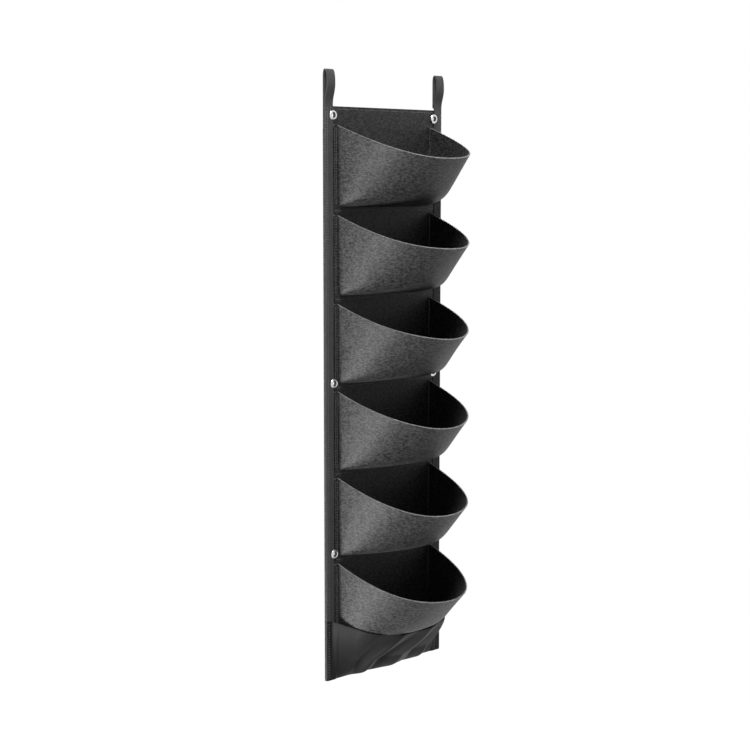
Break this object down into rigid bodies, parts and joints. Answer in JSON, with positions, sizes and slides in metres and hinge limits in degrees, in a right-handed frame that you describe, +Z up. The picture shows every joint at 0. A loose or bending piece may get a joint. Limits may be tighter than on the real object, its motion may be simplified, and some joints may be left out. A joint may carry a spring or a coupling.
{
  "type": "wall hanging planter bag",
  "caption": "Tall felt wall planter with a column of scoop pockets, webbing edge tapes, fold-over hanging loops, metal eyelets and a waterproof drip skirt at the bottom.",
  "frame": {"origin": "midway between the two top eyelets, on the wall plane at the back of the bag", "axes": "+Z up along the bag, +Y back into the wall, the pockets face -Y, +X to the right seen from the front"},
  "size_m": [0.3, 0.178, 1.115],
  "materials": {
    "panel_felt": "needle-punched felt, charcoal, heathered",
    "pocket_felt": "needle-punched felt, charcoal, heathered, pale cut edge",
    "webbing": "woven polypropylene webbing, dark grey",
    "waterproof_cloth": "coated nylon, black, soft shine",
    "sewing_thread": "bonded polyester thread, mid grey",
    "eyelet_metal": "bright nickel plate"
  },
  "bodies": {
    "planter": {"back_panel": "panel_felt", "waterproof_backing": "waterproof_cloth", "drip_skirt": "waterproof_cloth", "left_side_tape": "webbing", "right_side_tape": "webbing", "pocket_1": "pocket_felt", "pocket_2": "pocket_felt", "pocket_3": "pocket_felt", "pocket_4": "pocket_felt", "pocket_5": "pocket_felt", "pocket_6": "pocket_felt", "pocket_1_thread": "sewing_thread", "pocket_2_thread": "sewing_thread", "pocket_3_thread": "sewing_thread", "pocket_4_thread": "sewing_thread", "pocket_5_thread": "sewing_thread", "pocket_6_thread": "sewing_thread", "left_tape_thread": "sewing_thread", "right_tape_thread": "sewing_thread", "top_edge_thread": "sewing_thread", "loop_bar_tacks": "sewing_thread", "skirt_thread": "sewing_thread", "top_eyelets": "eyelet_metal", "middle_eyelets": "eyelet_metal", "lower_eyelets": "eyelet_metal", "top_eyelet_washers": "eyelet_metal", "middle_eyelet_washers": "eyelet_metal", "lower_eyelet_washers": "eyelet_metal"},
    "left_loop": {"left_hanging_loop": "webbing"},
    "right_loop": {"right_hanging_loop": "webbing"}
  },
  "joints": [
    {"name": "left_loop_fold", "type": "hinge", "parent": "planter", "child": "left_loop", "pos_m": [-0.14, -0.0025, 0.0192], "axis": [1, 0, 0], "range_deg": [-90, 90], "stiffness_Nm_per_rad": 0.01},
    {"name": "right_loop_fold", "type": "hinge", "parent": "planter", "child": "right_loop", "pos_m": [0.14, -0.0025, 0.0192], "axis": [1, 0, 0], "range_deg": [-90, 90], "stiffness_Nm_per_rad": 0.01}
  ]
}
